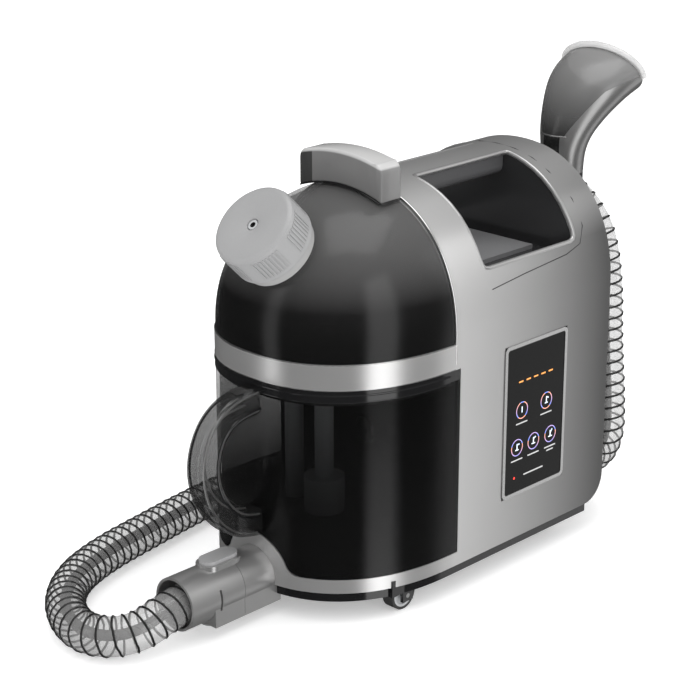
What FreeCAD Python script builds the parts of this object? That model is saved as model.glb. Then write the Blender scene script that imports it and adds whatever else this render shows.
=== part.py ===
"""Portable carpet cleaner with a clear filler tank above a smoky waste tank, and a suction hose.

Units are millimetres and +Z is up. The tanks and the hose port face -Y and the control panel faces +X.
Sizes along Y are given from the front rim of the housing; place() then shifts every part so that the
origin is under the middle of the machine, on the floor.
"""
import FreeCAD, Part
import math
import os

V = FreeCAD.Vector

# Driving dimensions of the housing
HALF_WIDTH = 105.0
WALL = 3.0
SILL_Z = 26.6                 # lower edge of the painted shell
SPRING_Z = 226.8              # where the straight sides turn into the arch
ARCH_RISE = 114.3
ARCH_POWER = 2.18
REAR_Y = 203.7
REAR_CORNER_R = 24.0
NOSE = 127.0                  # reach of the rounded front, ahead of the rim
NOSE_POWER = 2.31
ORIGIN_Y = 59.0               # middle of the machine's length

# Bands and tanks
BASE_TOP_Z = 38.6
BAND_Z = (201.4, 222.9)
BAY_REAR_Y = 6.3
TANK_WALL = 3.0
FOOT_INSET = 9.6              # inside of the clean tank's foot, from the housing's outline
LID_Z = 192.0
COLLAR_R = 35.0
PORT_AXIS_Z = 33.0
PORT_R = 22.5
PORT_SEAM_Y = -158.0
CONNECTOR_MOUTH_Y = -214.0

# Carry handle
BAR_HALF = 18.0
HAND_Y = (41.0, 162.0)
HAND_SILL_Z = 274.0
RECESS_FLOOR_Z = 262.0

# Filler cap
CAP_TILT = 44.0               # degrees above level
CAP_R = 36.0
CAP_FACE = V(0, -123.1, 327.9)
CAP_DEPTH = 30.0

# Panel on the +X side
PANEL_Y = (62.1, 144.6)
PANEL_Z = (66.6, 204.0)

# Wheels
WHEEL_R = 13.7
WHEEL_W = 11.0
WHEEL_SPOTS = {"front_left": (-86, -45), "front_right": (86, -45), "rear_left": (-72, 170), "rear_right": (72, 170)}
PAN_Z = 17.9

# Hose and stored tool
HOSE_R = 17.0
HOSE_BORE_R = 14.6
TOOL_Y = 267.0
TOOL_R = 18.0
SPOOL_Y = (206.9, 243.0)
SPOOL_HALF = 62.0
SCREW_SPOTS = [(x, z) for x in (-54, 54) for z in (110, 220)]
INLET_SPOT = (-40, 52)         # mains inlet on the rear wall, x and z
RISER_Y = 30.0
RISER_TOP_Z = 120.0
HOSE_ROUTE = [
    (0, -192, 33), (0, -219, 30.5), (-1, -247, 22), (-13, -269, 19), (-44, -277, 17), (-88, -258, 17),
    (-121, -222, 17), (-139, -174, 17), (-149, -118, 17), (-160, -55, 17), (-166, 12, 17), (-165, 80, 17),
    (-157, 146, 18), (-141, 204, 27), (-117, 236, 62), (-96, 236, 112), (-86, 225, 166), (-84, 224, 222),
    (-73, 223, 272), (-36, 223, 300), (0, 223, 307), (36, 223, 300), (73, 223, 272), (84, 224, 222),
    (87, 223, 166), (93, 223, 114), (93, 224, 74), (73, 230, 47), (39, 244, 43), (11, 259, 59),
    (0, 267, 95), (0, 267, 154),
]

parts = {}


def box(x, y, z):
    return Part.makeBox(x[1] - x[0], y[1] - y[0], z[1] - z[0], V(x[0], y[0], z[0]))


def rod(radius, start, end):
    axis = V(*end) - V(*start)
    return Part.makeCylinder(radius, axis.Length, V(*start), axis)


def tube(outer, inner, start, end):
    return rod(outer, start, end).cut(rod(inner, start, end))


def super_points(a, b, power, count=13):
    """Half of a superellipse of half-width a and height b, from +a over the top to -a."""
    points = []
    for i in range(count):
        angle = math.pi * i / (count - 1)
        c, s = math.cos(angle), math.sin(angle)
        u = math.copysign(abs(c) ** (2 / power), c) * a if abs(c) > 1e-9 else 0.0
        v = abs(s) ** (2 / power) * b if abs(s) > 1e-9 else 0.0
        points.append((u, v))
    return points


def smooth_edge(points, first, last):
    curve = Part.BSplineCurve()
    curve.interpolate(Points=points, InitialTangent=first, FinalTangent=last)
    return curve.toShape()


def line(*points):
    return [Part.LineSegment(a, b).toShape() for a, b in zip(points, points[1:])]


def arch_face(inset, bottom, y=0.0, half=HALF_WIDTH, spring=SPRING_Z, rise=ARCH_RISE):
    """Tombstone section in the XZ plane, inset all round, with its foot at bottom."""
    a, b = half - inset, rise - inset
    points = [V(u, y, spring + v) for u, v in super_points(a, b, ARCH_POWER)]
    top = smooth_edge(points, V(0, 0, 1), V(0, 0, -1))
    sides = line(points[-1], V(-a, y, bottom), V(a, y, bottom), points[0])
    return Part.Face(Part.Wire([top] + sides))


def arch_block(inset, bottom, y0, y1, **sizes):
    return arch_face(inset, bottom, y0, **sizes).extrude(V(0, y1 - y0, 0))


def nose_block(inset, z0, z1, back=0.0):
    """D-shaped plan with the rounded front, inset all round, from z0 to z1 and back to y = back."""
    a, b = HALF_WIDTH - inset, NOSE - inset
    points = [V(u, -v, z0) for u, v in super_points(a, b, NOSE_POWER)]
    front = smooth_edge(points, V(0, -1, 0), V(0, 1, 0))
    rest = line(points[-1], V(-a, back, z0), V(a, back, z0), points[0]) if back else line(points[-1], points[0])
    return Part.Face(Part.Wire([front] + rest)).extrude(V(0, 0, z1 - z0))


def collar_profile(grow, y0, y1):
    """Bell over the hose port: a circle whose flanks sweep out level with the base band."""
    r = COLLAR_R + grow
    flare = 12.0
    top = BASE_TOP_Z + grow
    far = math.sqrt((r + flare) ** 2 - (top + flare - PORT_AXIS_Z) ** 2)
    k = r / (r + flare)
    touch = V(far * k, y0, PORT_AXIS_Z + (top + flare - PORT_AXIS_Z) * k)
    mid = math.radians(0.5 * (math.degrees(math.atan2(PORT_AXIS_Z - top - flare, -far)) - 90.0))
    hub = V(far, y0, top + flare)
    bend = hub + V(math.cos(mid), 0, math.sin(mid)) * flare

    def flip(p):
        return V(-p.x, p.y, p.z)
    foot = V(far, y0, top)
    floor = 0.0
    edges = [
        Part.Arc(foot, bend, touch).toShape(),
        Part.Arc(touch, V(0, y0, PORT_AXIS_Z + r), flip(touch)).toShape(),
        Part.Arc(flip(touch), flip(bend), flip(foot)).toShape(),
    ]
    edges += line(flip(foot), V(-far, y0, floor), V(far, y0, floor), foot)
    return Part.Face(Part.Wire(edges)).extrude(V(0, y1 - y0, 0))


def port_profile(grow, y0, y1):
    """Round-topped, square-bottomed section shared by the hose port and the connector."""
    r = PORT_R + grow
    round_part = rod(r, (0, y0, PORT_AXIS_Z), (0, y1, PORT_AXIS_Z))
    square = box((-r + 1.0, r - 1.0), (y0, y1), (PORT_AXIS_Z - PORT_R - grow, PORT_AXIS_Z))
    return round_part.fuse(square).removeSplitter()


def slot_block(half_length, half_width, y, z0, z1):
    """Flat-sided oval, long along Y."""
    reach = half_length - half_width
    body = box((-half_width, half_width), (y - reach, y + reach), (z0, z1))
    for end in (-reach, reach):
        body = body.fuse(rod(half_width, (0, y + end, z0), (0, y + end, z1)))
    return body.removeSplitter()


def mirror_x(shape):
    return shape.mirror(V(0, 0, 0), V(1, 0, 0))


def both_sides(shape):
    return shape.fuse(mirror_x(shape))


def side_profile(rear, bottom, corner):
    """Block wider than the machine whose lower rear corner is rounded, seen from the side."""
    body = box((-150, 150), (-1, rear), (bottom, 400))
    edges = [e for e in body.Edges
             if abs(e.CenterOfMass.y - rear) < 0.01 and abs(e.CenterOfMass.z - bottom) < 0.01]
    return body.makeFillet(corner, edges)


def housing():
    shell = arch_block(0, SILL_Z, 0, REAR_Y).common(side_profile(REAR_Y, SILL_Z, REAR_CORNER_R))
    hollow_sides = side_profile(REAR_Y - WALL, SILL_Z + WALL, REAR_CORNER_R - WALL)
    hollow = arch_block(WALL, SILL_Z - 9, -1, REAR_Y - WALL)
    keep_clear = box((-150, 150), (-1, REAR_Y - REAR_CORNER_R), (0, 60))
    shell = shell.cut(hollow.common(hollow_sides.fuse(keep_clear)))
    # the waste tank's bay reaches a little behind the rim
    shell = shell.cut(box((-150, 150), (-1, BAY_REAR_Y), (BASE_TOP_Z, BAND_Z[0])))
    hand = box((BAR_HALF, 150), HAND_Y, (HAND_SILL_Z, 400))
    corners = [e for e in hand.Edges if e.Length > 100 and abs(e.tangentAt(0).z) > 0.9 and e.CenterOfMass.x < 20]
    corners += [e for e in hand.Edges if abs(e.tangentAt(0).x) > 0.9 and e.CenterOfMass.z < 280]
    hand = hand.makeFillet(6.0, corners)
    shell = shell.cut(both_sides(hand))
    window = box((90, 120), (PANEL_Y[0] - 0.1, PANEL_Y[1] + 0.1), (PANEL_Z[0] - 0.1, PANEL_Z[1] + 0.1))
    shell = shell.cut(window)
    for x, z in SCREW_SPOTS:
        shell = shell.cut(rod(2.0, (x, REAR_Y - 10, z), (x, REAR_Y + 1, z)))
    x, z = INLET_SPOT
    shell = shell.cut(rod(4.6, (x, REAR_Y - 10, z), (x, REAR_Y + 1, z)))
    band = nose_block(0, *BAND_Z).cut(nose_block(WALL, BAND_Z[0] + WALL, BAND_Z[1] + 1))
    band = band.cut(rod(12.0, (0, -40, 190), (0, -40, 230)))
    base = nose_block(0, SILL_Z, BASE_TOP_Z).cut(nose_block(WALL, SILL_Z - 1, BASE_TOP_Z - WALL))
    ridge = collar_profile(0, -NOSE - 1, 0).common(nose_block(0, SILL_Z, 80))
    ridge = ridge.cut(nose_block(4.0, 0, 90))
    base = base.cut(box((-34, 34), (-124, 1), (BASE_TOP_Z - WALL - 1, BASE_TOP_Z + 1)))
    base = base.fuse(ridge)
    base = base.cut(port_profile(0.2, -NOSE - 1, -116))
    return shell.fuse(band).fuse(base).removeSplitter()


def housing_group():
    parts["main_housing"] = housing()
    pan = nose_block(WALL, PAN_Z, SILL_Z).fuse(box((-102, 102), (0, 184), (PAN_Z, SILL_Z)))
    inner = nose_block(WALL + 3, PAN_Z + 3, SILL_Z + 1).fuse(box((-99, 99), (-1, 181), (PAN_Z + 3, SILL_Z + 1)))
    pan = pan.cut(inner)
    axle_z = WHEEL_R
    wells, hollows, axles = [], [], []
    for x, y in WHEEL_SPOTS.values():
        wells.append(box((x - 10.5, x + 10.5), (y - 19, y + 19), (PAN_Z - 9, WHEEL_R * 2 + 5)))
        hollows.append(box((x - 7.5, x + 7.5), (y - 16, y + 16), (0, WHEEL_R * 2 + 2)))
        hollows.append(rod(2.0, (x - 12, y, axle_z), (x + 12, y, axle_z)))
        axles.append(rod(2.0, (x - 10.5, y, axle_z), (x + 10.5, y, axle_z)))
        for front in (y - 20, y + 6):     # the wells' cheeks are narrow where they hang below the pan
            hollows.append(box((x - 11, x + 11), (front, front + 14), (0, PAN_Z)))
    pan = pan.multiFuse(wells).common(box((-102, 102), (-130, 190), (0, 60)))
    for hollow in hollows:
        pan = pan.cut(hollow)
    pan = pan.cut(port_profile(0.2, -NOSE - 1, -117.8))
    parts["base_pan"] = pan.cut(parts["main_housing"]).removeSplitter()
    parts["axles"] = Part.makeCompound(axles)
    bulkhead = arch_block(WALL + 0.3, PAN_Z + 10, BAY_REAR_Y + 0.9, BAY_REAR_Y + 3.4)
    for z, r in ((36, 14.4), (RISER_TOP_Z, 14.4), (160, 9.2)):
        bulkhead = bulkhead.cut(rod(r, (0, 0, z), (0, 20, z)))
    parts["bulkhead"] = bulkhead
    parts["rear_cover"] = arch_block(12, 62, REAR_Y + 0.1, REAR_Y + 3.1).cut(
        Part.makeCompound([rod(2.0, (x, REAR_Y, z), (x, REAR_Y + 4, z)) for x, z in SCREW_SPOTS]))
    screws = []
    for x, z in SCREW_SPOTS:
        shank = rod(1.9, (x, REAR_Y - 8, z), (x, REAR_Y + 3.2, z))
        screws.append(shank.fuse(rod(3.6, (x, REAR_Y + 3.2, z), (x, REAR_Y + 5.4, z))))
    parts["rear_screws"] = Part.makeCompound(screws)


def handle_group():
    y0, y1 = HAND_Y
    liner = arch_block(WALL + 0.3, 200, y0 - 2.5, y1 + 2.5)
    liner = liner.common(box((-150, 150), (0, 200), (RECESS_FLOOR_Z - 2.5, 400)))
    liner = liner.cut(box((-150, 150), (y0, y1), (RECESS_FLOOR_Z, 400)))
    parts["handle_recess"] = liner
    pad = box((-15, 15), (y0 + 0.3, y1 - 0.3), (318, 336.5))
    pad = pad.common(arch_block(WALL + 0.3, 200, y0, y1))
    edges = [e for e in pad.Edges if abs(e.CenterOfMass.z - 318) < 0.5 and abs(e.tangentAt(0).y) > 0.9]
    parts["handle_grip"] = pad.makeFillet(8.0, edges)
    parts["recess_tray"] = box((-60, 60), (y0 + 12, y1 - 12), (RECESS_FLOOR_Z + 0.1, RECESS_FLOOR_Z + 4.0))


def panel_group():
    (y0, y1), (z0, z1) = PANEL_Y, PANEL_Z
    frame = box((100.5, 105.9), (y0, y1), (z0, z1))
    frame = frame.makeFillet(5.0, [e for e in frame.Edges if abs(e.tangentAt(0).x) > 0.9])
    rim = 3.2
    opening = box((100, 107), (y0 + rim, y1 - rim), (z0 + rim, z1 - rim))
    opening = opening.makeFillet(2.5, [e for e in opening.Edges if abs(e.tangentAt(0).x) > 0.9])
    parts["panel_bezel"] = frame.cut(opening)
    glass = box((103.0, 105.4), (y0 + rim + 0.1, y1 - rim - 0.1), (z0 + rim + 0.1, z1 - rim - 0.1))
    parts["panel_glass"] = glass.makeFillet(2.4, [e for e in glass.Edges if abs(e.tangentAt(0).x) > 0.9])
    board = box((98.4, 100.0), (y0 + 6, y1 - 6), (z0 + 6, z1 - 6))
    chips = [box((96.6, 98.4), (y, y + 14), (z, z + 14)) for y in (74, 112) for z in (90, 130, 170)]
    parts["control_board"] = board.multiFuse(chips)


def clean_tank_group():
    a, b, c = HALF_WIDTH - 1.6, NOSE - 1.6, ARCH_RISE - 1.0

    def dome(inset):
        ball = Part.makeSphere(1.0)
        stretch = FreeCAD.Matrix()
        stretch.scale(a - inset, b - inset, c - inset)
        return ball.transformGeometry(stretch).translated(V(0, 0, SPRING_Z))

    front = box((-150, 150), (-150, -0.5), (SPRING_Z, 400))
    solid = dome(0).common(front).fuse(nose_block(1.0, BAND_Z[1] + 0.2, SPRING_Z, 0).common(
        box((-150, 150), (-150, -0.5), (0, 400))))
    foot = nose_block(WALL + 0.4, BAND_Z[0] + WALL + 0.2, BAND_Z[1] + 0.2).common(
        box((-150, 150), (-150, -0.5), (0, 400)))
    room = dome(TANK_WALL).common(box((-150, 150), (-150, -0.5 - TANK_WALL), (SPRING_Z, 400)))
    room = room.fuse(nose_block(FOOT_INSET, BAND_Z[0] + WALL - 1, SPRING_Z).common(
        box((-150, 150), (-150, -0.5 - TANK_WALL), (0, 400))))
    axis = V(0, -math.cos(math.radians(CAP_TILT)), math.sin(math.radians(CAP_TILT)))
    neck_r = 27.0
    root = CAP_FACE - axis * 62
    neck = Part.makeCylinder(neck_r, 62 - 6, root, axis)
    bore = Part.makeCylinder(neck_r - 3, 70, root - axis * 6, axis)
    flange = Part.makeCylinder(33.0, 7.0, CAP_FACE - axis * (CAP_DEPTH + 9.0), axis)
    tank = solid.fuse(foot).fuse(neck.cut(dome(TANK_WALL))).fuse(flange.cut(dome(1.0)))
    tank = tank.cut(room).cut(bore)
    parts["clean_tank"] = tank.removeSplitter()
    plate = nose_block(FOOT_INSET + 0.2, BAND_Z[0] + WALL + 0.2, BAND_Z[0] + WALL + 4.2)
    plate = plate.common(box((-150, 150), (-150, -0.5 - TANK_WALL - 0.2), (0, 400)))
    seat = tube(10.5, 7.0, (0, -40, BAND_Z[0] + WALL + 0.2), (0, -40, BAND_Z[0] + WALL + 14))
    plate = plate.cut(rod(10.5, (0, -40, 190), (0, -40, 230)))
    parts["clean_tank_floor"] = plate.fuse(seat).removeSplitter()
    stem = rod(2.5, (0, -40, BAND_Z[0] + 0.8), (0, -40, BAND_Z[0] + WALL + 14.3))
    parts["outlet_valve"] = stem.fuse(
        rod(9.5, (0, -40, BAND_Z[0] + WALL + 14.3), (0, -40, BAND_Z[0] + WALL + 17.5))).removeSplitter()
    # grip block that straddles the top of the dome
    half, crown, shoulder = 46.0, 369.6, 362.5
    corner = [V(-half, -26, shoulder), V(-half, -26, 320), V(half, -26, 320), V(half, -26, shoulder)]
    top = Part.Arc(corner[3], V(0, -26, crown), corner[0]).toShape()
    slab = Part.Face(Part.Wire(line(*corner) + [top])).extrude(V(0, 24, 0))
    slab = slab.makeFillet(7.0, [e for e in slab.Edges if abs(e.tangentAt(0).y) > 0.9 and e.CenterOfMass.z > 350])
    parts["tank_grip"] = slab.cut(dome(-0.2))
    baffles = Part.makeCompound([box((x - 1, x + 1), (-95, -10), (BAND_Z[0] + WALL + 4.4, 262)) for x in (-62, 62)])
    parts["baffle_plates"] = baffles.common(dome(TANK_WALL + 1))

    skirt = Part.makeCylinder(CAP_R, CAP_DEPTH, CAP_FACE - axis * CAP_DEPTH, axis)
    edges = [e for e in skirt.Edges if (e.CenterOfMass - CAP_FACE).Length < 0.5]
    skirt = skirt.makeFillet(2.0, edges)
    skirt = skirt.cut(Part.makeCylinder(neck_r + 0.6, CAP_DEPTH - 3.0, CAP_FACE - axis * (CAP_DEPTH + 1), axis))
    skirt = skirt.cut(Part.makeCylinder(4.4, 20, CAP_FACE - axis * 10, axis))
    for i in range(24):
        spin = 15.0 * i
        notch = Part.makeBox(1.6, 1.6, CAP_DEPTH - 8, V(CAP_R - 0.9, -0.8, -CAP_DEPTH - 1))
        notch.rotate(V(0, 0, 0), V(0, 0, 1), spin)
        notch.rotate(V(0, 0, 0), V(1, 0, 0), 90 - CAP_TILT)
        skirt = skirt.cut(notch.translated(CAP_FACE))
    parts["filler_cap"] = skirt
    plug = Part.makeCylinder(4.3, 6.0, CAP_FACE - axis * 7.2, axis)
    parts["vent_plug"] = plug.fuse(Part.makeCylinder(8.0, 2.0, CAP_FACE - axis * 7.2 - axis * 2.0, axis))
    lip = CAP_FACE - axis * 5.9
    seal = Part.makeCylinder(neck_r - 3.3, 1.6, lip - axis * 2.6, axis)
    parts["cap_seal"] = seal.cut(Part.makeCylinder(8.3, 3, lip - axis * 3.4, axis))


def dirty_tank_group():
    gap = 0.35
    z0, z1 = BASE_TOP_Z + 0.3, LID_Z
    outer = nose_block(gap, z0, z1, BAY_REAR_Y - 0.1)
    hollow = nose_block(gap + TANK_WALL, z0 + TANK_WALL, z1 + 1, BAY_REAR_Y - 0.1 - TANK_WALL)
    tunnel_wall = collar_profile(TANK_WALL + 0.8, -140, 20)
    hollow = hollow.cut(tunnel_wall)
    tank = outer.cut(collar_profile(0.8, -140, 20)).cut(hollow)
    tank = tank.cut(rod(12.0, (0, 0, RISER_TOP_Z), (0, 10, RISER_TOP_Z)))
    parts["waste_tank"] = tank.removeSplitter()
    lid = nose_block(gap, z1 + 0.1, BAND_Z[0] - 0.4, BAY_REAR_Y - 0.1)
    lid = lid.cut(nose_block(gap + 4, z1 + 3.5, BAND_Z[0], BAY_REAR_Y - 4))
    plug = nose_block(gap + TANK_WALL + 2.2, z1 - 5, z1 + 1.5, 2.0)
    lid = lid.fuse(plug.cut(nose_block(gap + TANK_WALL + 5, z1 - 6, z1 + 2)))
    for x in (-17, 18):
        lid = lid.cut(rod(8.0, (x, -63, z1 - 8), (x, -63, z1 + 12)))
    parts["waste_lid"] = lid.removeSplitter()
    rim = nose_block(gap + TANK_WALL + 0.1, z1 - 4, z1 - 1, 3.1)
    parts["lid_seal"] = rim.cut(nose_block(gap + TANK_WALL + 2.1, z1 - 5, z1, 2.1))
    parts["inlet_tube"] = tube(7.9, 6.0, (-17, -63, 76), (-17, -63, z1 + 3))
    parts["air_tube"] = tube(7.9, 6.0, (18, -63, 104), (18, -63, z1 + 3))
    cage = tube(17.0, 15.0, (18, -63, 76), (18, -63, 102))
    for z0, z1, hole in ((74, 76, 5.0), (102, 103.9, 6.5)):
        cage = cage.fuse(tube(17.0, hole, (18, -63, z0), (18, -63, z1)))
    parts["float_cage"] = cage.removeSplitter()
    parts["float_ball"] = Part.makeSphere(9.0, V(18, -63, 83.6))
    # handle loop in the middle plane
    outer_pts = [(-124, 194.3), (-155, 192), (-181, 172), (-191, 140), (-184, 107), (-162, 80), (-141, 69), (-124, 66)]
    inner_pts = [(-124, 174.5), (-148, 171.5), (-165, 157), (-171, 138), (-166, 116), (-150, 97), (-136, 88.5),
                 (-124, 85.5)]
    loop = loop_face(outer_pts).extrude(V(24, 0, 0)).cut(loop_face(inner_pts).extrude(V(24, 0, 0)))
    loop = loop.translated(V(-12, 0, 0)).cut(nose_block(gap - 0.05, 0, 300))
    parts["tank_handle"] = loop.cut(box((-13, 13), (-127.6, -120), (60, 69)))


def loop_face(pts):
    """Closed outline in the YZ plane at x = 0: a curve through the points, closed along the tank."""
    p = [V(0, y, z) for y, z in pts]
    curve = Part.BSplineCurve()
    curve.interpolate(Points=p, InitialTangent=V(0, -1, 0), FinalTangent=V(0, 1, 0))
    return Part.Face(Part.Wire([curve.toShape()] + line(p[-1], V(0, -100, pts[-1][1]), V(0, -100, pts[0][1]), p[0])))


def suction_path(radius, start, end):
    """Runs back from the port, rises behind the bulkhead and turns forward into the waste tank."""
    low, high = (0, RISER_Y, 36), (0, RISER_Y, RISER_TOP_Z)
    path = rod(radius, (0, start, 36), low).fuse(rod(radius, low, high)).fuse(rod(radius, high, (0, end, RISER_TOP_Z)))
    for bend in (low, high):
        path = path.fuse(Part.makeSphere(radius, V(*bend)))
    return path.removeSplitter()


def port_group():
    root = -118.0
    port = port_profile(0, PORT_SEAM_Y, root)
    port = port.cut(rod(17.0, (0, PORT_SEAM_Y - 1, PORT_AXIS_Z), (0, root - 4, PORT_AXIS_Z)))
    parts["hose_port"] = port.cut(rod(12.0, (0, root - 5, 36), (0, root + 1, 36)))
    duct = suction_path(14.0, root + 0.1, BAY_REAR_Y + 0.2).cut(suction_path(12.0, root - 1, BAY_REAR_Y - 1))
    parts["suction_duct"] = duct.cut(box((-20, 20), (-130, 70), (0, PAN_Z + 4.2)))
    mouth = CONNECTOR_MOUTH_Y
    body = port_profile(0, -190.0, PORT_SEAM_Y - 0.3).fuse(
        rod(PORT_R, (0, mouth, PORT_AXIS_Z), (0, PORT_SEAM_Y - 0.3, PORT_AXIS_Z)))
    top = slot_block(20.5, 11.0, -167.0, 45.0, 57.5)
    low = slot_block(20.5, 11.0, -167.0, 7.0, 20.0)
    over = port_profile(0.4, PORT_SEAM_Y - 0.3, -100)
    body = body.fuse(top.fuse(low).cut(over)).removeSplitter()
    body = body.cut(rod(20.3, (0, mouth - 1, PORT_AXIS_Z), (0, -190, PORT_AXIS_Z)))
    body = body.cut(rod(14.6, (0, -191, PORT_AXIS_Z), (0, -140, PORT_AXIS_Z)))
    for z0, z1 in ((53.5, 60), (5.0, 11.5)):
        body = body.cut(slot_block(18.3, 8.8, -167.0, z0, z1))
    spigot = tube(16.6, 14.6, (0, PORT_SEAM_Y - 2, PORT_AXIS_Z), (0, -134, PORT_AXIS_Z))
    body = body.fuse(spigot.cut(tube(18.0, 15.8, (0, -142, PORT_AXIS_Z), (0, -139, PORT_AXIS_Z))))
    body = body.cut(box((18, 24), (-184.5, -182.5), (24, 42)))
    parts["hose_connector"] = body.removeSplitter()
    parts["port_seal"] = tube(16.95, 15.85, (0, -141.9, PORT_AXIS_Z), (0, -139.1, PORT_AXIS_Z))
    parts["latch_button_top"] = slot_block(18.0, 8.5, -167.0, 57.2, 60.8)
    parts["latch_button_low"] = slot_block(18.0, 8.5, -167.0, 4.4, 8.7)


def inside_group():
    motor = rod(42.0, (0, 100, 93.1), (0, 100, 158)).fuse(rod(16.0, (0, 100, 158), (0, 100, 170)))
    parts["suction_motor"] = motor.cut(rod(7.0, (0, 100, 93), (0, 100, 97)))
    shell = tube(52.0, 49.5, (0, 100, 58), (0, 100, 90)).fuse(tube(52.0, 8.0, (0, 100, 90), (0, 100, 93)))
    shell = shell.fuse(tube(52.0, 22.0, (0, 100, 55), (0, 100, 58)))
    for x in (-34, 34):
        for y in (66, 134):
            shell = shell.fuse(rod(4.0, (x, y, PAN_Z + 3.1), (x, y, 55)))
    parts["fan_housing"] = shell.removeSplitter()
    hub = rod(6.0, (0, 100, 62), (0, 100, 95.5)).fuse(rod(44.0, (0, 100, 82), (0, 100, 84)))
    blades = []
    for i in range(9):
        blade = box((12, 42), (-1, 1), (64, 82))
        blade.rotate(V(0, 0, 0), V(0, 0, 1), 40.0 * i)
        blades.append(blade.translated(V(0, 100, 0)))
    parts["fan_rotor"] = hub.multiFuse(blades).removeSplitter()
    pump = box((58, 92), (94, 148), (PAN_Z + 3.1, 62)).fuse(rod(14.0, (75, 86, 45), (75, 94, 45)))
    parts["water_pump"] = pump.removeSplitter()
    parts["water_heater"] = box((-92, -60), (60, 148), (PAN_Z + 3.1, 80))
    parts["air_duct"] = tube(9.0, 7.2, (0, BAY_REAR_Y + 0.2, 160), (0, 57.8, 160))
    x, z = INLET_SPOT
    parts["mains_inlet"] = rod(7.0, (x, REAR_Y + 0.1, z), (x, REAR_Y + 4.0, z)).fuse(
        rod(4.5, (x, REAR_Y - 6, z), (x, REAR_Y + 0.1, z)))


def wheel_group():
    for name, (x, y) in WHEEL_SPOTS.items():
        w = WHEEL_W / 2
        hub = tube(WHEEL_R - 2.5, 2.06, (x - w, y, WHEEL_R), (x + w, y, WHEEL_R))
        for side in (-1, 1):
            dish = tube(WHEEL_R - 4.5, 4.0, (x + side * (w - 1.2), y, WHEEL_R), (x + side * (w + 1), y, WHEEL_R))
            hub = hub.cut(dish)
        parts[f"wheel_{name}"] = hub
        tread = tube(WHEEL_R, WHEEL_R - 2.5, (x - w, y, WHEEL_R), (x + w, y, WHEEL_R))
        parts[f"tyre_{name}"] = tread


def rear_group():
    y0, y1 = SPOOL_Y
    drum = arch_block(0, 84, y0, y1, half=SPOOL_HALF, spring=218.0, rise=64.0)
    drum = drum.cut(arch_block(3, 87, y0 - 1, y1 + 1, half=SPOOL_HALF, spring=218.0, rise=64.0))
    flange = arch_block(0, 80, y1, y1 + 3, half=SPOOL_HALF + 12, spring=218.0, rise=72.0)
    plate_holes = [box((-50, 50), (y1 - 1, y1 + 4), (z, z + 30)) for z in (110, 156)]
    flange = flange.cut(Part.makeCompound(plate_holes))
    lip = box((-24, 24), (y1, y1 + 3), (240, 300))
    parts["hose_spool"] = drum.fuse(flange).fuse(lip.common(flange)).removeSplitter()
    ring = tube(24.0, TOOL_R + 0.5, (0, TOOL_Y, 252), (0, TOOL_Y, 272))
    ring = ring.fuse(box((-22, 22), (y1 + 3.1, TOOL_Y - 8), (252, 272)))
    ring = ring.cut(rod(TOOL_R + 0.5, (0, TOOL_Y, 250), (0, TOOL_Y, 275)))
    ring = ring.cut(box((-11, 11), (TOOL_Y, TOOL_Y + 40), (250, 275)))
    ring = ring.cut(box((-30, 30), (TOOL_Y - 40, y1 + 3.1), (250, 275)))
    parts["tool_dock"] = ring.removeSplitter()


def tool_section(angle, centre, half_x, half_t):
    """Ellipse across the tool: centre is (y, z), angle the lean of the tool's axis towards +Y."""
    lean = math.radians(angle)
    normal = V(0, math.sin(lean), math.cos(lean))
    across = V(1, 0, 0)
    c = V(0, *centre)
    if half_x > half_t:
        oval = Part.Ellipse(c + across * half_x, c + normal.cross(across) * half_t, c)
    else:
        oval = Part.Ellipse(c + normal.cross(across) * half_t, c + across * half_x, c)
    return Part.Wire([oval.toShape()])


def tool_head(inset):
    stations = [
        (0, (TOOL_Y, 298), 18.0, 17.9),
        (2, (TOOL_Y + 1, 322), 19.5, 18.5),
        (22, (TOOL_Y + 9, 348), 27.0, 21.0),
        (45, (TOOL_Y + 28, 373), 35.5, 22.0),
        (68, (TOOL_Y + 57, 386), 42.0, 21.0),
    ]
    wires = [tool_section(a, c, x - inset, t - inset) for a, c, x, t in stations]
    return Part.makeLoft(wires, True, False)


def tool_group():
    cuff_low, cuff_top = 113.0, 160.0
    parts["hose_cuff"] = rod(21.0, (0, TOOL_Y, cuff_low), (0, TOOL_Y, cuff_top)).cut(
        rod(HOSE_R + 0.5, (0, TOOL_Y, cuff_low - 1), (0, TOOL_Y, cuff_top - 4)))
    grip = rod(TOOL_R, (0, TOOL_Y, cuff_top + 0.1), (0, TOOL_Y, 297.9))
    grip = grip.fuse(tube(20.8, TOOL_R - 1, (0, TOOL_Y, 272.3), (0, TOOL_Y, 277)))
    grip = grip.cut(rod(TOOL_R - 3, (0, TOOL_Y, cuff_top - 1), (0, TOOL_Y, 298.5)))
    grip = grip.cut(box((-6, 6), (TOOL_Y + 8, TOOL_Y + 40), (206, 246)))
    parts["tool_grip"] = grip.removeSplitter()
    head = tool_head(0).cut(tool_head(2.4))
    seam = Part.makeLoft([
        tool_cut(TOOL_Y - 40, 318.0), tool_cut(TOOL_Y - 4, 319.0), tool_cut(TOOL_Y + 16, 342.0),
        tool_cut(TOOL_Y + 44, 372.0), tool_cut(TOOL_Y + 90, 392.0)], True, False)
    parts["tool_window"] = head.common(seam)
    shell = head.cut(seam)
    parts["tool_shell"] = shell.cut(rod(3.6, (0, TOOL_Y + 18, 346.9), (0, TOOL_Y + 66, 372.0)))
    parts["spray_nozzle"] = rod(3.5, (0, TOOL_Y + 24, 350), (0, TOOL_Y + 45, 361))
    trigger = box((-5.6, 5.6), (TOOL_Y + 12, TOOL_Y + 23), (207, 245))
    parts["tool_trigger"] = trigger.makeFillet(3.0, [e for e in trigger.Edges
                                                    if abs(e.CenterOfMass.y - TOOL_Y - 23) < 0.01])


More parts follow.
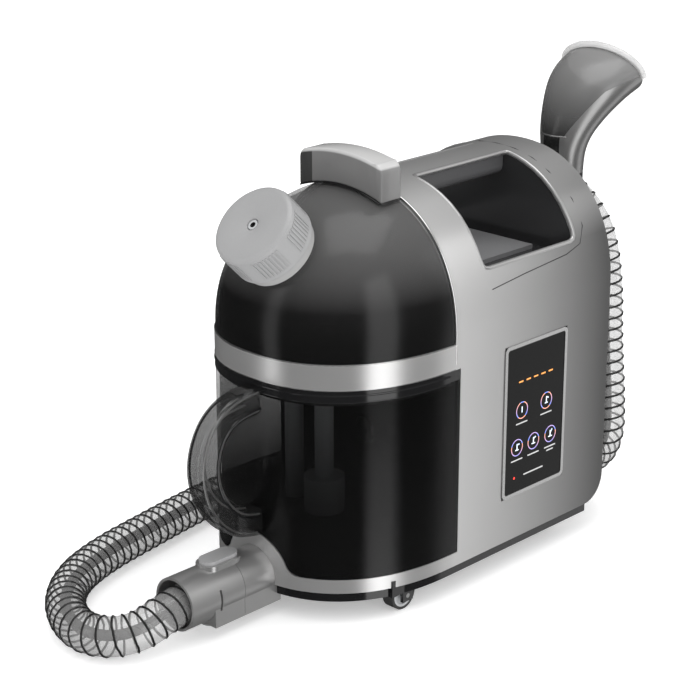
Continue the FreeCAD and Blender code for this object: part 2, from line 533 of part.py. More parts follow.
def tool_cut(y, z):
    """Tall slab outline standing on the seam height z at y, for the loft that parts the window."""
    return Part.Wire(line(V(-60, y, z), V(60, y, z), V(60, y, z + 120), V(-60, y, z + 120), V(-60, y, z)))


def route_wire(points):
    p = [V(*q) for q in points]
    edges, start = [], p[0]
    radii = []
    for before, corner, after in zip(p, p[1:], p[2:]):
        back, on = before - corner, after - corner
        turn = math.pi - back.getAngle(on)
        trim = 0.45 * min(back.Length, on.Length)
        radius = trim / math.tan(turn / 2)
        radii.append(radius)
        back.normalize()
        on.normalize()
        a, b = corner + back * trim, corner + on * trim
        middle = back + on
        middle.normalize()
        apex = corner + middle * (math.hypot(radius, trim) - radius)
        edges.append(Part.LineSegment(start, a).toShape())
        edges.append(Part.Arc(a, apex, b).toShape())
        start = b
    edges.append(Part.LineSegment(start, p[-1]).toShape())
    return Part.Wire(edges), radii


def hose_group():
    path, radii = route_wire(HOSE_ROUTE)
    print("hose length", round(path.Length, 1), "radii", [round(r) for r in radii])
    first = V(*HOSE_ROUTE[1]) - V(*HOSE_ROUTE[0])
    pipes = []
    for radius in (HOSE_R, HOSE_BORE_R):
        ring = Part.Wire([Part.Circle(V(*HOSE_ROUTE[0]), first, radius).toShape()])
        pipes.append(path.makePipeShell([ring], True, False))
    hose = pipes[0].cut(pipes[1])
    section = math.pi * (HOSE_R ** 2 - HOSE_BORE_R ** 2)
    print("hose volume over section times length", round(hose.Volume / (section * path.Length), 4))
    parts["suction_hose"] = hose


def place(shape):
    return shape.translated(V(0, -ORIGIN_Y, 0))


def main():
    for group in (housing_group, handle_group, panel_group, clean_tank_group, dirty_tank_group, port_group,
                  inside_group, wheel_group, rear_group, tool_group, hose_group):
        group()
    os.makedirs("parts", exist_ok=True)
    for name, shape in parts.items():
        placed = place(shape)
        if not placed.isValid() or not placed.Solids:
            print("check the shape of", name)
        placed.exportStep(f"parts/{name}.step")
    whole = Part.makeCompound([place(s) for n, s in parts.items() if n != "suction_hose"])
    print(len(parts), "parts, box without the hose", whole.BoundBox)


main()
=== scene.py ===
# %% [markdown]
# # A portable carpet cleaner
# The machine has a painted shell, a smoky dome for clean water, a darker tank for waste water, and a ribbed
# hose that runs round the floor to a hand tool at the back. The CAD model gives every place and size. This
# lesson adds what CAD leaves out: clear plastic, ribs, rounded edges, the hose's wire and the panel's icons.

# %% Load the frame
import bpy
import bmesh
import math
from mathutils import Matrix, Vector


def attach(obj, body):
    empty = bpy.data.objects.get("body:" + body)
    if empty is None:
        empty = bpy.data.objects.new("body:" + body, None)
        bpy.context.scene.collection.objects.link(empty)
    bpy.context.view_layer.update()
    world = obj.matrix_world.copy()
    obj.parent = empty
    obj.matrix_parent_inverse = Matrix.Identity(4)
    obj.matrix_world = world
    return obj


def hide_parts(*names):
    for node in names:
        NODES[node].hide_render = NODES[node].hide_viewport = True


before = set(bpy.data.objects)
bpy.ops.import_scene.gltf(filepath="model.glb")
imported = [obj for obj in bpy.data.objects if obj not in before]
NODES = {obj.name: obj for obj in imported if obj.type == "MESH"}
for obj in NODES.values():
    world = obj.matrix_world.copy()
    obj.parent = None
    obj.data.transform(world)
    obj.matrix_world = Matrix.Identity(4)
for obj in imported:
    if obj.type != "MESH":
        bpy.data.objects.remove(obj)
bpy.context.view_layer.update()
RIM_Y = 59.0


def mm(x, y, z):
    """A point in metres from millimetres, with y counted from the front rim of the shell."""
    return Vector((x, y - RIM_Y, z)) / 1000


# %% [markdown]
# The camera comes first, since every later choice is judged through it. It looks down at a corner of the
# machine from about a metre and a half, with a fairly long lens, so that parallel edges stay nearly parallel.

# %% Camera
scene = bpy.context.scene
camera = bpy.data.objects.new("camera", bpy.data.cameras.new("camera"))
scene.collection.objects.link(camera)
azimuth, height = math.radians(43.96), math.radians(19.51)
level = math.cos(height)
back = Vector((math.sin(azimuth) * level, -math.cos(azimuth) * level, math.sin(height)))
camera.location = (1.0765, -1.1890, 0.7458)
camera.rotation_euler = back.to_track_quat("Z", "Y").to_euler()
camera.data.lens = 101.35
camera.data.sensor_width = 36.0
camera.data.clip_end = 50
scene.camera = camera
scene.view_settings.view_transform = "Standard"
print("camera at", camera.location[:])

# %% [markdown]
# The hose is the one flexible part. Its route is a handful of points: out of the connector, along the floor
# round the far side, up behind the machine, over the hose rest and into the tool's cuff. A NURBS spline with
# those control points gives one smooth line, and everything on the hose is built from that line.

# %% Hose route
ROUTE = [
    (0, -192, 33), (0, -219, 30.5), (-1, -247, 22), (-13, -269, 19), (-44, -277, 17), (-88, -258, 17),
    (-121, -222, 17), (-139, -174, 17), (-149, -118, 17), (-160, -55, 17), (-166, 12, 17), (-165, 80, 17),
    (-157, 146, 18), (-141, 204, 27), (-117, 236, 62), (-96, 236, 112), (-86, 225, 166), (-84, 224, 222),
    (-73, 223, 272), (-36, 223, 300), (0, 223, 307), (36, 223, 300), (73, 223, 272), (84, 224, 222),
    (87, 223, 166), (93, 223, 114), (93, 224, 74), (73, 230, 47), (39, 244, 43), (11, 259, 59),
    (0, 267, 95), (0, 267, 154),
]


def nurbs(name, points, radius=0.0, closed=False, sides=4):
    """A curve object through control points in metres, round in section when it has a radius."""
    curve = bpy.data.curves.new(name, "CURVE")
    curve.dimensions = "3D"
    curve.resolution_u = 12
    curve.bevel_depth = radius
    curve.bevel_resolution = sides
    curve.use_fill_caps = True
    spline = curve.splines.new("NURBS")
    spline.points.add(len(points) - 1)
    for slot, point in zip(spline.points, points):
        slot.co = (*point, 1.0)
    spline.use_cyclic_u = closed
    spline.order_u = 3
    spline.use_endpoint_u = not closed
    piece = bpy.data.objects.new(name, curve)
    scene.collection.objects.link(piece)
    return piece


def line_points(piece):
    """The points of a curve's own smooth line."""
    mesh = bpy.data.meshes.new_from_object(piece)
    points = [vertex.co.copy() for vertex in mesh.vertices]
    bpy.data.meshes.remove(mesh)
    return points


route = nurbs("hose_line", [mm(*p) for p in ROUTE])
hose_points = line_points(route)
bpy.data.objects.remove(route)

# %% [markdown]
# A vacuum hose of this kind is a thin clear film over a springy wire that winds along it, and this one has a
# second thin pipe for water inside. The wire is a helix round the line. To keep it from twisting at the
# bends, the two directions that carry it are turned only as much as the line itself turns.

# %% Hose film, wire and water pipe
HOSE_RADIUS = 0.017


def helix(points, radius, pitch, per_turn=18):
    """Points that wind round a line, a pitch further along at each turn."""
    along = (points[1] - points[0]).normalized()
    across = along.orthogonal().normalized()
    wound, travelled, due = [], 0.0, 0.0
    step = pitch / per_turn
    for a, b in zip(points, points[1:]):
        run = (b - a).length
        if run < 1e-7:
            continue
        ahead = (b - a) / run
        across = along.rotation_difference(ahead) @ across
        along = ahead
        while due <= travelled + run:
            turn = math.tau * due / pitch
            side = across * math.cos(turn) + along.cross(across) * math.sin(turn)
            wound.append(a + ahead * (due - travelled) + side * radius)
            due += step
        travelled += run
    return wound


def poly(name, points, radius, sides=1, closed=False):
    """A curve object that runs straight from point to point."""
    piece = nurbs(name, points[:2], radius, False, sides)
    curve = piece.data
    curve.splines.clear()
    spline = curve.splines.new("POLY")
    spline.points.add(len(points) - 1)
    for slot, point in zip(spline.points, points):
        slot.co = (*point, 1.0)
    spline.use_cyclic_u = closed
    return piece


def as_mesh(curve_piece):
    """A curve piece turned into a mesh piece of the same name."""
    name = curve_piece.name
    mesh = bpy.data.meshes.new_from_object(curve_piece)
    bpy.data.objects.remove(curve_piece)
    work = bmesh.new()
    work.from_mesh(mesh)
    bmesh.ops.remove_doubles(work, verts=work.verts, dist=1e-6)
    bmesh.ops.recalc_face_normals(work, faces=work.faces)
    work.to_mesh(mesh)
    work.free()
    for face in mesh.polygons:
        face.use_smooth = True
    mesh.name = name
    piece = bpy.data.objects.new(name, mesh)
    scene.collection.objects.link(piece)
    return piece


film = as_mesh(nurbs("hose_film", [mm(*p) for p in ROUTE], HOSE_RADIUS - 0.0009, sides=6))
wire = as_mesh(poly("hose_wire", helix(hose_points, HOSE_RADIUS - 0.001, 0.0102), 0.001))
pipe = as_mesh(nurbs("hose_water_pipe", [mm(x, y, z + 1) for x, y, z in ROUTE], 0.0046, sides=3))
for piece in (film, wire, pipe):
    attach(piece, "housing")
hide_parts("suction_hose")
mm(0, -214, 31)
print("hose wire of", len(wire.data.polygons), "faces")

# %% [markdown]
# Shaders are sums of simple steps. Two small helpers keep them readable: one wraps a socket so that ordinary
# Python arithmetic adds Math nodes, and one adds any other node from its type, its settings and its inputs.

# %% Shader helpers
class Value:
    """A shader socket that takes part in Python arithmetic."""

    def __init__(self, tree, socket):
        self.tree, self.socket = tree, socket

    def math(self, operation, *others):
        node = self.tree.nodes.new("ShaderNodeMath")
        node.operation = operation
        for slot, other in zip(node.inputs, others):
            if isinstance(other, Value):
                self.tree.links.new(other.socket, slot)
            else:
                slot.default_value = other
        return Value(self.tree, node.outputs[0])

    def __add__(self, other):
        return self.math("ADD", self, other)

    def __radd__(self, other):
        return self.math("ADD", other, self)

    def __sub__(self, other):
        return self.math("SUBTRACT", self, other)

    def __rsub__(self, other):
        return self.math("SUBTRACT", other, self)

    def __mul__(self, other):
        return self.math("MULTIPLY", self, other)

    def __rmul__(self, other):
        return self.math("MULTIPLY", other, self)

    def __truediv__(self, other):
        return self.math("DIVIDE", self, other)

    def clamp(self):
        return self.math("MAXIMUM", self.math("MINIMUM", self, 1.0), 0.0)


class Recipe:
    """One material, built node by node."""

    def __init__(self, name):
        self.material = bpy.data.materials.new(name)
        self.material.use_nodes = True
        self.tree = self.material.node_tree
        self.tree.nodes.clear()

    def add(self, kind, settings=None, **inputs):
        node = self.tree.nodes.new(kind)
        for key, setting in (settings or {}).items():
            if key == "stops":
                first, last = node.color_ramp.elements
                (first.position, first.color), (last.position, last.color) = setting[0], setting[-1]
                for position, color in setting[1:-1]:
                    node.color_ramp.elements.new(position).color = color
            else:
                setattr(node, key, setting)
        for key, entry in inputs.items():
            slot = node.inputs[int(key[2:])] if key.startswith("in") else node.inputs[key.replace("_", " ")]
            if isinstance(entry, Value):
                self.tree.links.new(entry.socket, slot)
            else:
                slot.default_value = entry
        return node

    def out(self, node, name=0):
        return Value(self.tree, node.outputs[name])

    def place(self):
        """Object coordinates and their three parts."""
        coords = self.out(self.add("ShaderNodeTexCoord"), "Object")
        parts = self.add("ShaderNodeSeparateXYZ", in0=coords)
        return coords, self.out(parts, 0), self.out(parts, 1), self.out(parts, 2)

    def noise(self, coords, scale, detail=3.0):
        return self.out(self.add("ShaderNodeTexNoise", Vector=coords, Scale=scale, Detail=detail))

    def mix(self, factor, first, second):
        node = self.add("ShaderNodeMix", {"data_type": "RGBA"}, in0=factor, in6=first, in7=second)
        return self.out(node, 2)

    def surface(self, bump=None, strength=0.1, distance=0.0004, **inputs):
        """The closing shader, with an optional relief."""
        if bump is not None:
            relief = self.add("ShaderNodeBump", Height=bump, Strength=strength, Distance=distance)
            inputs["Normal"] = self.out(relief)
        shader = self.add("ShaderNodeBsdfPrincipled", **inputs)
        closing = self.add("ShaderNodeOutputMaterial")
        self.tree.links.new(shader.outputs[0], closing.inputs[0])
        return self.material


def grey(level):
    return (level, level * 0.995, level * 0.99, 1.0)


print("shader helpers ready")

# %% [markdown]
# The finishes come in families. Metallic paint is a fine flake under a thin coat: the flake shows as a tiny
# change of tone and relief. Moulded plastic has a fine grain. Clear plastic is a dark colour that lets part
# of the light through, and rubber is dark, rough and slightly dusty. The thick grip has its own recipe.

# %% Families of finish
def paint(name, level, rough=0.33, metallic=0.8, painted_shade=0.0):
    """Metallic paint; a painted shade may darken it towards the back, more on the sides than on the crown."""
    recipe = Recipe(name)
    coords, x, y, z = recipe.place()
    flake = recipe.noise(coords, 2200.0, 1.0)
    drift = recipe.noise(coords, 9.0)
    tone = (flake * 0.35 + drift * 0.65 - 0.25).clamp()
    color = recipe.mix(tone, grey(level * 0.88), grey(level * 1.12))
    # Painted shade: darker towards the back, less so on the crown.
    if painted_shade:
        crown = ((z - 0.275) / 0.06).clamp()
        back = ((y + 0.05) / 0.19).clamp() * (1.0 - crown * 0.7)
        color = recipe.mix(back * painted_shade, color, (0.0, 0.0, 0.0, 1.0))
    return recipe.surface(flake, 0.05, 0.0001, Base_Color=color, Metallic=metallic,
                          Roughness=drift * 0.08 + (rough - 0.04), Coat_Weight=0.25, Coat_Roughness=0.12)


def plastic(name, color, rough=0.4, grain=900.0, relief=0.15, coat=0.0, shine=0.5):
    """Moulded plastic with a fine grain and a slow drift of tone."""
    recipe = Recipe(name)
    coords = recipe.place()[0]
    fine = recipe.noise(coords, grain, 2.0)
    broad = recipe.noise(coords, 14.0)
    tone = (fine * 0.4 + broad * 0.6).clamp()
    low = tuple(channel * 0.85 for channel in color[:3]) + (1.0,)
    high = tuple(min(1.0, channel * 1.15) for channel in color[:3]) + (1.0,)
    return recipe.surface(fine, relief, 0.0002, Base_Color=recipe.mix(tone, low, high),
                          Roughness=broad * 0.1 + (rough - 0.05), Specular_IOR_Level=shine, Coat_Weight=coat,
                          Coat_Roughness=0.08)


def clear(name, level, low, high, spread=(0.0, 1.0), rough=0.08, shine=0.5, coat=0.3, top=None):
    """See-through plastic whose opacity changes between two heights; a top adds painted light that lightens
    it upwards.
    """
    recipe = Recipe(name)
    coords, x, y, z = recipe.place()
    drift = recipe.noise(coords, 7.0)
    climb = ((z - spread[0]) / (spread[1] - spread[0])).clamp()
    haze = recipe.noise(coords, 60.0)
    alpha = (climb * (high - low) + low + (drift - 0.5) * 0.06).clamp()
    color = recipe.mix(drift, grey(level * 0.8), grey(level * 1.2))
    # Painted light: with a top, the colour lightens towards the top.
    if top is not None:
        color = recipe.mix(climb, color, grey(top))
    return recipe.surface(haze, 0.02, 0.0002, Base_Color=color, Alpha=alpha,
                          Roughness=haze * 0.04 + (rough - 0.02), Specular_IOR_Level=shine, Coat_Weight=coat,
                          Coat_Roughness=0.03)


def block(name):
    """The thick clear grip: mid grey in front, with a painted highlight on top and a painted shade on its far
    end.
    """
    recipe = Recipe(name)
    coords, x, y, z = recipe.place()
    cloud = recipe.noise(coords, 40.0)
    body = recipe.mix(cloud, grey(0.15), grey(0.19))
    # Painted shade: the far end, where it is seen through the block, is dark.
    painted_end_shade = recipe.mix(x.math("LESS_THAN", x, -0.031), body, grey(0.045))
    # Painted highlight: the top face is pale.
    crown = ((z + x * x * 3.2 - 0.3660) * 700.0).clamp()
    return recipe.surface(cloud, 0.02, 0.0002, Base_Color=recipe.mix(crown, painted_end_shade, grey(0.5)),
                          Roughness=cloud * 0.05 + 0.2, Coat_Weight=0.4, Coat_Roughness=0.05)


def rubber(name, level):
    """Dark dusty rubber."""
    recipe = Recipe(name)
    coords = recipe.place()[0]
    dust = recipe.noise(coords, 120.0)
    fine = recipe.noise(coords, 1500.0)
    return recipe.surface(fine, 0.3, 0.0003, Base_Color=recipe.mix(dust, grey(level), grey(level * 2.0)),
                          Roughness=dust * 0.15 + 0.6)


FINISH = {
    # The shell's paint darkens towards the back: a painted shade.
    "shell": paint("shell_paint", 0.74, rough=0.3, painted_shade=0.86),
    "fitting": paint("fitting_paint", 0.52, rough=0.3),
    "trim": paint("bright_trim", 0.62, rough=0.22, metallic=0.95),
    "silver": paint("tool_silver", 0.34, rough=0.3),
    "cap": plastic("cap_grey", (0.33, 0.33, 0.333, 1), rough=0.34, grain=1200.0, relief=0.08),
    "black": plastic("gloss_black", (0.006, 0.006, 0.0065, 1), rough=0.12, relief=0.03, coat=0.3),
    "glass": plastic("panel_glass", (0.003, 0.003, 0.003, 1), rough=0.12, relief=0.0, shine=0.18),
    "dark": plastic("dark_plastic", (0.022, 0.022, 0.023, 1), rough=0.4),
    "deep": plastic("recess_plastic", (0.028, 0.028, 0.029, 1), rough=0.2, relief=0.06, coat=0.3),
    "tray": plastic("tray_grey", (0.20, 0.20, 0.205, 1), rough=0.35),
    "pad": plastic("pad_grey", (0.09, 0.09, 0.093, 1), rough=0.4),
    "pale": plastic("pale_plastic", (0.45, 0.46, 0.47, 1), rough=0.4),
    # The dome's tone lightens towards its top: painted light where light shows through its upper part.
    "dome": clear("dome_smoke", 0.004, 0.90, 0.45, (0.262, 0.335), rough=0.2, shine=0.4, coat=0.0, top=0.16),
    "tank": clear("tank_smoke", 0.002, 0.88, 0.45, (0.03, 0.19), rough=0.24, shine=0.5, coat=0.0),
    "handle": clear("handle_smoke", 0.012, 0.74, 0.62, (0.06, 0.2), rough=0.05, shine=0.9, coat=0.6),
    # The window's tone lightens towards the mouth: a painted highlight.
    "window": clear("window_smoke", 0.01, 0.9, 0.8, (0.33, 0.405), rough=0.26, shine=0.7, coat=0.0, top=0.22),
    "lip": clear("lip_clear", 0.6, 0.7, 0.6, (0.3, 0.4), shine=0.9),
    "grip": block("grip_clear"),
    "film": clear("hose_film_clear", 0.42, 0.42, 0.42, (0.0, 0.3), shine=0.8),
    "rubber": rubber("seal_rubber", 0.02),
    "tread": rubber("tread_rubber", 0.025),
    "steel": paint("steel", 0.55, rough=0.3, metallic=1.0),
    "cast": paint("cast_alloy", 0.5, rough=0.5, metallic=0.9),
    "board": plastic("board_green", (0.02, 0.12, 0.05, 1), rough=0.5),
    "float": plastic("float_orange", (0.6, 0.2, 0.03, 1), rough=0.4),
    "wire": plastic("wire_black", (0.008, 0.008, 0.008, 1), rough=0.3, relief=0.05),
}
print(len(FINISH), "finishes")

# %% [markdown]
# Most CAD parts keep their shape and only need their finish. The table pairs each finish with its parts.

# %% Finishes on the CAD parts
CAD_FINISH = {
    "shell": ["main_housing"],
    "fitting": ["hose_connector", "hose_port"],
    "trim": ["panel_bezel"],
    "glass": ["panel_glass"],
    "black": ["base_pan", "waste_lid", "hose_cuff", "tool_trigger", "clean_tank_floor"],
    "dark": ["bulkhead", "rear_cover", "hose_spool", "tool_dock", "suction_duct", "fan_housing",
             "air_duct", "tool_grip", "mains_inlet", "water_pump", "spray_nozzle"],
    "deep": ["handle_recess"],
    "tray": ["recess_tray"],
    "pad": ["handle_grip"],
    "silver": ["tool_shell"],
    "pale": ["float_cage", "inlet_tube", "air_tube", "fan_rotor", "vent_plug", "wheel_front_left",
             "wheel_front_right", "wheel_rear_left", "wheel_rear_right"],
    "cap": ["latch_button_top", "latch_button_low", "filler_cap"],
    "dome": ["clean_tank", "baffle_plates"],
    "tank": ["waste_tank"],
    "handle": ["tank_handle"],
    "window": ["tool_window"],
    "grip": ["tank_grip"],
    "rubber": ["port_seal", "lid_seal", "cap_seal", "outlet_valve"],
    "tread": ["tyre_front_left", "tyre_front_right", "tyre_rear_left", "tyre_rear_right"],
    "steel": ["axles", "rear_screws"],
    "cast": ["suction_motor", "water_heater"],
    "board": ["control_board"],
    "float": ["float_ball"],
    "film": ["suction_hose"],
}


def wear(piece, finish):
    """Gives a piece one finish."""
    piece.data.materials.clear()
    piece.data.materials.append(FINISH[finish])


for finish, names in CAD_FINISH.items():
    for name in names:
        wear(NODES[name], finish)
wear(film, "film")
wear(wire, "wire")
wear(pipe, "black")
print(sum(len(names) for names in CAD_FINISH.values()), "CAD parts finished")

# %% [markdown]
# Small parts are made in a bmesh. One helper turns it into an object, with its faces pointing out and smooth
# shading on shallow edges, and names the body it moves with. The shell's arch and its rounded front are both
# superellipses, so three more helpers give points on them.

# %% From bmesh to piece
HALF_WIDTH, NOSE_DEPTH = 105.0, 127.0
SPRING, ARCH_RISE = 226.8, 114.3
ARCH_POWER, PLAN_POWER = 2.18, 2.31


def finish_piece(name, work, body, finish, replaces=(), angle=35.0):
    """Turns a bmesh into a finished piece that moves with a body, and hides the CAD parts it replaces."""
    bmesh.ops.remove_doubles(work, verts=work.verts, dist=1e-6)
    bmesh.ops.recalc_face_normals(work, faces=work.faces)
    mesh = bpy.data.meshes.new(name)
    work.to_mesh(mesh)
    work.free()
    for face in mesh.polygons:
        face.use_smooth = True
    mesh.set_sharp_from_angle(angle=math.radians(angle))
    piece = bpy.data.objects.new(name, mesh)
    scene.collection.objects.link(piece)
    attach(piece, body)
    if replaces:
        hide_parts(*replaces)
    wear(piece, finish)
    print(name, len(mesh.polygons), "faces")
    return piece


def bead(name, points, radius, body, finish, closed=False, sides=2):
    """A thin round bead along a line of points."""
    line = poly(name + "_line", points, radius, sides, closed)
    mesh = bpy.data.meshes.new_from_object(line)
    bpy.data.objects.remove(line)
    work = bmesh.new()
    work.from_mesh(mesh)
    bpy.data.meshes.remove(mesh)
    return finish_piece(name, work, body, finish)


def arch_point(turn, y, inset=0.0):
    """A point on the shell's arch outline, from +X over the top to -X, in metres."""
    c, s = math.cos(turn), math.sin(turn)
    x = math.copysign(abs(c) ** (2 / ARCH_POWER), c) * (HALF_WIDTH - inset)
    return mm(x, y, SPRING + abs(s) ** (2 / ARCH_POWER) * (ARCH_RISE - inset))


def arch_x(x, y, inset=0.0):
    """A point on the arch at a given x."""
    share = min(1.0, abs(x) / (HALF_WIDTH - inset))
    return mm(x, y, SPRING + (1 - share ** ARCH_POWER) ** (1 / ARCH_POWER) * (ARCH_RISE - inset))


def nose_point(turn, z, inset=0.0):
    """A point on the rounded front's outline, from +X round the front to -X, in metres."""
    c, s = math.cos(turn), math.sin(turn)
    x = math.copysign(abs(c) ** (2 / PLAN_POWER), c) * (HALF_WIDTH - inset)
    return mm(x, -(abs(s) ** (2 / PLAN_POWER)) * (NOSE_DEPTH - inset), z)


print("an arch", 2 * HALF_WIDTH, "mm wide over a front", NOSE_DEPTH, "mm deep")

# %% [markdown]
# The dome is a quarter of a fat ellipsoid: rounder than an ellipsoid in plan and in the arch. It starts as a
# ball that is cut twice and then swollen, and its lower edge is drawn down into the foot.

# %% Clear dome
DOME_FOOT = 0.2233


def dome_place(co):
    """Where a point of the unit ball goes on the dome, one millimetre inside the shell's outlines."""
    u, v, w = (abs(k) for k in co)
    plan = (u ** PLAN_POWER + v ** PLAN_POWER) ** (ARCH_POWER / PLAN_POWER)
    size = (plan + w ** ARCH_POWER) ** (-1 / ARCH_POWER)
    return mm(co.x * (HALF_WIDTH - 1) * size, co.y * (NOSE_DEPTH - 1) * size,
              SPRING + co.z * (ARCH_RISE - 1) * size)


work = bmesh.new()
bmesh.ops.create_uvsphere(work, u_segments=128, v_segments=64, radius=1.0)
for normal in ((0, 1, 0), (0, 0, -1)):
    bmesh.ops.bisect_plane(work, geom=work.verts[:] + work.edges[:] + work.faces[:], plane_co=(0, 0, 0),
                           plane_no=normal, clear_outer=True)
for vertex in work.verts:
    vertex.co = dome_place(vertex.co)
    vertex.co.y = min(vertex.co.y, mm(0, -0.5, 0).y)
rim = [edge for edge in work.edges
       if edge.is_boundary and all(abs(v.co.z - SPRING / 1000) < 1e-5 for v in edge.verts)]
skirt = bmesh.ops.extrude_edge_only(work, edges=rim)
for vertex in (g for g in skirt["geom"] if isinstance(g, bmesh.types.BMVert)):
    vertex.co.z = DOME_FOOT
bmesh.ops.recalc_face_normals(work, faces=work.faces)
bmesh.ops.solidify(work, geom=work.faces[:], thickness=0.0028)
finish_piece("dome", work, "clean_tank_body", "dome", ["clean_tank"])

# %% [markdown]
# The filler neck, the cap and their rings are turned shapes, so each is a profile spun round its axis. The
# axis leans forward, and one matrix puts them all on it.

# %% Turning on the cap's axis
TILT = math.radians(44.0)
CAP_AXIS = Vector((0, -math.cos(TILT), math.sin(TILT)))
CAP_FACE = mm(0, -123.1, 327.9)
CAP_TURN = Vector((0, 0, 1)).rotation_difference(CAP_AXIS).to_matrix().to_4x4()
CAP_PLACE = Matrix.Translation(CAP_FACE) @ CAP_TURN


def turned(profile, steps=96, place=CAP_PLACE):
    """A ring or disc from a profile of (radius, height) in millimetres, spun round the axis."""
    work = bmesh.new()
    verts = [work.verts.new((r / 1000, 0, h / 1000)) for r, h in profile]
    edges = [work.edges.new(pair) for pair in zip(verts, verts[1:])]
    bmesh.ops.spin(work, geom=verts + edges, cent=(0, 0, 0), axis=(0, 0, 1), angle=math.tau, steps=steps,
                   use_merge=True)
    bmesh.ops.remove_doubles(work, verts=work.verts, dist=1e-6)
    bmesh.ops.transform(work, matrix=place, verts=work.verts)
    return work


NECK = [(27, -8), (29.5, -8), (29.5, -31), (33, -32), (33, -39), (27, -46), (24, -46), (24, -8), (27, -8)]
work = turned(NECK)
finish_piece("filler_neck", work, "clean_tank_body", "lip")

# %% [markdown]
# The cap has a flat face with a small recessed vent, a rounded shoulder, and finger ribs round its skirt. The
# ribs are short plain bars, set round the skirt in groups with a plain stretch between two groups.

# %% Filler cap
CAP = [(0, -3), (4.6, -3), (5.4, -0.6), (6.2, -0.2), (31.0, 0), (33.5, -0.7), (35.0, -2.2),
       (35.4, -4.5), (35.4, -26), (36, -28), (36, -30), (27.6, -30), (27.6, -6), (0, -6)]
work = turned(CAP)
for group in range(6):
    for rib in range(8):
        turn = math.radians(60 * group + 5.2 * rib)
        place = CAP_PLACE @ Matrix.Rotation(turn, 4, "Z") @ Matrix.Translation((0.0354, 0, -0.0155))
        bmesh.ops.create_cube(work, size=1.0, matrix=place @ Matrix.Diagonal((0.0012, 0.0016, 0.021, 1)))
finish_piece("cap_body", work, "filler_cap_body", "cap", ["filler_cap"])
work = turned([(0, -1.2), (2.4, -1.2), (2.8, -1.6), (3.6, -1.8), (3.8, -3)], 32)
finish_piece("vent_button", work, "filler_cap_body", "black")

# %% [markdown]
# The lifting grip on the dome is a thick clear block with soft corners. A cube is stretched to size, its
# top is crowned, and all its edges are bevelled.

# %% Lifting grip on the dome
work = bmesh.new()
size = Matrix.Diagonal((0.092, 0.024, 0.036, 1))
bmesh.ops.create_cube(work, size=1.0, matrix=Matrix.Translation(mm(0, -14, 346)) @ size)
across = [e for e in work.edges if abs(e.verts[0].co.x - e.verts[1].co.x) > 0.05]
bmesh.ops.subdivide_edges(work, edges=across, cuts=15)
for vertex in work.verts:
    share = vertex.co.x / 0.046
    if vertex.co.z > 0.36:
        vertex.co.z = 0.3694 - 0.0068 * share ** 2
    else:
        vertex.co.z = 0.3415 - 0.0085 * share ** 2
outer = [e for e in work.edges if abs(e.verts[0].co.x) > 0.0459 and abs(e.verts[1].co.x) > 0.0459]
corners = [e for e in outer if e.verts[0].co.z > 0.358 and e.verts[1].co.z > 0.358]
bmesh.ops.bevel(work, geom=corners, offset=0.0065, affect="EDGES", segments=5, profile=0.5, material=-1)
rims = [e for e in work.edges if len(e.link_faces) == 2 and e.calc_face_angle(0) > 1.0]
bmesh.ops.bevel(work, geom=rims, offset=0.0018, affect="EDGES", segments=3, profile=0.5, material=-1)
finish_piece("lifting_grip", work, "clean_tank_body", "grip", ["tank_grip"])

foot = [mm(x, -26.2, 341.3 - 8.5 * (x / 46) ** 2) for x in range(-45, 46, 5)]
foot += [mm(46.2, -25, 332.9), mm(46.2, -3, 332.9)]
bead("grip_shadow_line", foot, 0.0006, "clean_tank_body", "black")

# %% [markdown]
# The waste tank's handle is a thick ring of clear plastic with rounded edges. A rounded section is carried
# along a smooth line down the middle of the ring.

# %% Tank handle
LOOP = [(-112, 184.5), (-134, 184.0), (-157, 179.5), (-173, 165), (-181, 140), (-175, 112), (-158, 90),
        (-139, 79.5), (-112, 76.5)]
section = bpy.data.curves.new("loop_section", "CURVE")
section.dimensions = "2D"
outline = section.splines.new("NURBS")
THICK, WIDE = 9.7, 11.9
SQUARE = [(-1, -1), (0, -1), (1, -1), (1, 0), (1, 1), (0, 1), (-1, 1), (-1, 0)]
outline.points.add(len(SQUARE) - 1)
for point, (u, v) in zip(outline.points, [(THICK * p, WIDE * q) for p, q in SQUARE]):
    point.co = (u / 1000, v / 1000, 0, 1)
outline.use_cyclic_u = True
outline.order_u = 3
section_piece = bpy.data.objects.new("loop_section", section)
scene.collection.objects.link(section_piece)
loop_line = nurbs("loop_line", [mm(0, y, z) for y, z in LOOP])
loop_line.data.bevel_mode = "OBJECT"
loop_line.data.bevel_object = section_piece
bpy.context.view_layer.update()
loop_mesh = bpy.data.meshes.new_from_object(loop_line.evaluated_get(bpy.context.evaluated_depsgraph_get()))
bpy.data.objects.remove(loop_line)
bpy.data.objects.remove(section_piece)
work = bmesh.new()
work.from_mesh(loop_mesh)
bmesh.ops.bisect_plane(work, geom=work.verts[:] + work.edges[:] + work.faces[:], plane_co=mm(0, -126.4, 0),
                       plane_no=(0, 1, 0), clear_outer=True)
finish_piece("loop_handle", work, "waste_tank_body", "handle", ["tank_handle"])


def loop_edge(points, offset, x):
    """The loop's line moved sideways in its own plane, by an offset in millimetres."""
    moved = []
    for before, here, after in zip(points, points[1:], points[2:]):
        along = (after - before).normalized()
        moved.append(here + Vector((0, along.z, -along.y)) * offset / 1000 + Vector((x / 1000, 0, 0)))
    return moved


loop_guide = nurbs("loop_guide", [mm(0, y, z) for y, z in LOOP])
loop_points = line_points(loop_guide)
bpy.data.objects.remove(loop_guide)
print("loop line of", len(loop_points), "points")
